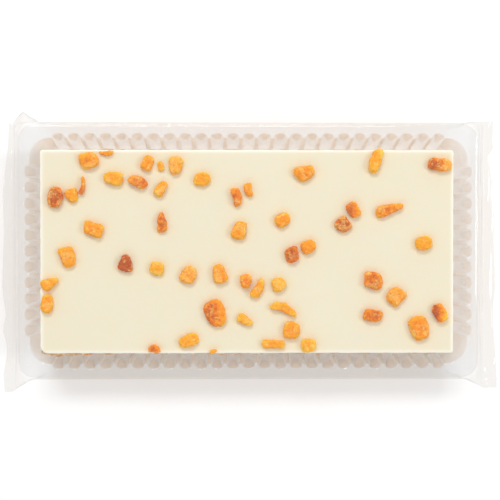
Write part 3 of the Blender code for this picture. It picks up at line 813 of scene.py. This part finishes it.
def film_sections(side):
    """The rows of the loops where the full tube ends, at the rim, at the fin's root and at its cut edge."""
    ear_front, ear_back = EARS[side]
    front, back = ROOTS[side]
    shoulder_z = film_top - FILM_ROLL
    half = FOOT_HALF + (WALL_HALF - FOOT_HALF) * SEAL_Z / shoulder_z
    inner = WALL_HALF - FILM_ROLL
    sections = [
        ((FULL_REACH, 0.0, FOOT_HALF, FOOT_HALF), (FULL_REACH, SEAL_Z, half, half),
         (FULL_REACH, shoulder_z, WALL_HALF, WALL_HALF), (FULL_REACH, film_top, inner, inner)),
        ((FOOT_REACH, 0.0, FOOT_HALF - 0.0017, FOOT_HALF - 0.0017), (EAR_REACH, SEAL_Z, ear_front, ear_back),
         (RIM_REACH - 0.9 * FILM_CORNER, shoulder_z, WALL_HALF, WALL_HALF),
         (lambda y: rim_reach(y) - FILM_ROLL * 0.6, film_top, inner, inner)),
    ]
    for reach in (ROOT_REACH, lambda y: tip_reach(side, y)):
        sections.append(tuple((reach, SEAL_Z + lift * SEAL_HALF, front - trim, back - trim)
                              for lift, trim in ((-1, 0.0006), (0, 0.0), (1, 0.0003), (1, 0.0006))))
    return sections


loops = []
for side in (-1, 1):
    marks = [film_loop(side, *rows) for rows in film_sections(side)]
    part = []
    for first, second, rows in zip(marks, marks[1:], ROWS[1:]):
        for step in range(rows):
            part.append([a.lerp(b, step / rows) for a, b in zip(first, second)])
    part.append(marks[-1])
    if side < 0:
        left = part[::-1]
    else:
        tube = [[a.lerp(b, step / ROWS[0]) for a, b in zip(left[-1], part[0])] for step in range(1, ROWS[0])]
        loops = left + tube + part


def film_caps(start):
    """The faces that close a fin's cut edge, where the loop begins at the vertex number start."""
    sides = ROLL_STEPS + 2 * DOWN - 1
    foot = [start + i for i in range(ACROSS + 1)]
    back = [start + ACROSS + 1 + i for i in range(sides)]
    top = [start + 2 * ACROSS + 1 + sides - i for i in range(ACROSS + 1)]
    front = [start + 2 * ACROSS + 2 + sides + i for i in range(sides)]
    faces = [(foot[i], foot[i + 1], top[i + 1], top[i]) for i in range(ACROSS)]
    return faces + [(foot[-1], *back, top[-1]), (top[0], *front, foot[0])]


TOP_RIPPLE = 0.00009
FOLD_RELIEF = 0.00055
FIN_RELIEF = 0.00045
EAR_RELIEF = 0.0011
LEFT_HAZE = 1.0  # of the two fins
RIGHT_HAZE = 1.7


def ripple(point):
    """Where the drawn film's creases carry a point."""
    place = point - tray_middle
    reach, side = abs(place.x), math.copysign(1, place.x)
    stretched = Vector((place.x / 0.0016, place.y / 0.030, side))
    folds = noise.noise(stretched) + 0.5 * noise.noise(stretched * 2.1)
    ear = min(1.0, max(0.0, (abs(place.y) - 0.047) / 0.010))
    end = min(1.0, max(0.0, (reach - RIM_REACH + 0.001) / 0.003))
    crumple = grit(point, 0.0042, seed=11) + 0.6 * grit(point, 0.0021, seed=12)
    lift = end * (FIN_RELIEF * folds + EAR_RELIEF * ear * crumple)
    slope = end * max(0.0, 1 - abs(reach - 0.1062) / 0.003)
    moved = Vector((side * FOLD_RELIEF * slope * folds, 0, lift))
    if end == 0 and point.z > film_top - 0.0001:
        moved.z = -TOP_RIPPLE * (0.5 + 0.5 * grit(point, 0.022, seed=9))
        moved.z -= 0.5 * TOP_RIPPLE * abs(grit(point, 0.007, seed=3))
    elif end == 0 and 0.001 < point.z < film_top - FILM_ROLL:
        corner = max(0.0, 1 - (RIM_REACH - reach) / 0.030)
        sway = math.sin(math.pi * point.z / film_top)
        ribs = noise.noise(Vector((place.x / 0.0045, point.z / 0.040, 5)))
        moved.y = math.copysign(sway * (0.0003 + 0.0011 * corner) * ribs, place.y)
    return point + moved


loops = [[ripple(point) for point in loop] for loop in loops]
film = skin("clear_film", loops, film_caps(0) + film_caps((len(loops) - 1) * len(loops[0])))
film.data.shade_smooth()
hazes = film.data.attributes.new("haze", "FLOAT", "POINT")
for vertex in film.data.vertices:
    place = vertex.co - tray_middle
    pressed = min(1.0, max(0.0, (abs(place.x) - RIM_REACH + 0.002) / 0.003))
    hazes.data[vertex.index].value = pressed * (LEFT_HAZE if place.x < 0 else RIGHT_HAZE)


def film_relief(tree):
    """Fine creases, drawn out across the tube."""
    where = add_node(tree, "ShaderNodeMapping", inputs={"Scale": (1.0, 0.10, 1.0)})
    tree.links.new(add_node(tree, "ShaderNodeTexCoord").outputs["Object"], where.inputs["Vector"])
    creases = add_noise(tree, 420, 3, 0.6, where.outputs["Vector"])
    return add_bump(tree, creases, 0.0006, 0.6)


film.data.materials.append(clear_sheet(
    "clear_film", tint=(0.986, 0.987, 0.987), deep_tint=(0.95, 0.93, 0.905), veil=0.01,
    veil_colour=(0.95, 0.94, 0.92), roughness=0.09, relief=film_relief, haze=(0.955, 0.946, 0.934)))
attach(film, "root")
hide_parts("wrap")

# --- Floor, lights and camera -----------------------------------------------------------------------
# A white table under two softboxes, one behind and one at the right, with an even white fill.
deselect()
bpy.ops.mesh.primitive_plane_add(size=6, location=(0, 0, -0.0002))
floor = bpy.context.object
floor.name = "floor"
floor_finish, tree, shader = new_material("pale_floor")
shader.inputs["Base Color"].default_value = (0.97, 0.97, 0.97, 1)
shader.inputs["Roughness"].default_value = 0.9
floor.data.materials.append(floor_finish)
floor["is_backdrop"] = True

LIGHTS = (
    # name, place, size, power
    ("back_softbox", (-0.25, 1.50, 1.50), (1.20, 0.35), 16.0),
    ("side_softbox", (1.60, 0.10, 1.30), (0.45, 0.45), 6.5),
)
for name, place, size, power in LIGHTS:
    lamp = bpy.data.lights.new(name, "AREA")
    lamp.shape = "RECTANGLE"
    lamp.size, lamp.size_y = size
    lamp.energy = power
    light = bpy.data.objects.new(name, lamp)
    bpy.context.collection.objects.link(light)
    light.location = place
    light.rotation_euler = (-Vector(place)).to_track_quat("-Z", "Y").to_euler()

world = bpy.data.worlds.new("studio")
world.use_nodes = True
world.node_tree.nodes["Background"].inputs["Color"].default_value = (1.0, 1.0, 1.0, 1)
world.node_tree.nodes["Background"].inputs["Strength"].default_value = 0.76
scene = bpy.context.scene
scene.world = world
scene.view_settings.view_transform = "Standard"
scene.cycles.transparent_max_bounces = 40
scene.cycles.max_bounces = 16

CAMERA_RISE = 0.550  # above the icing
CAMERA_LENS = 88
camera = bpy.data.objects.new("camera", bpy.data.cameras.new("camera"))
bpy.context.collection.objects.link(camera)
camera.data.lens = CAMERA_LENS
aim = Vector((slab_middle.x + 0.0012, slab_middle.y + 0.0008, icing_high.z))
camera.location = aim + Vector((-0.0090, 0.0099, CAMERA_RISE))
camera.rotation_euler = Vector((0, 0, -1)).rotation_difference(aim - camera.location).to_euler()
scene.camera = camera

low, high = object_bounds()
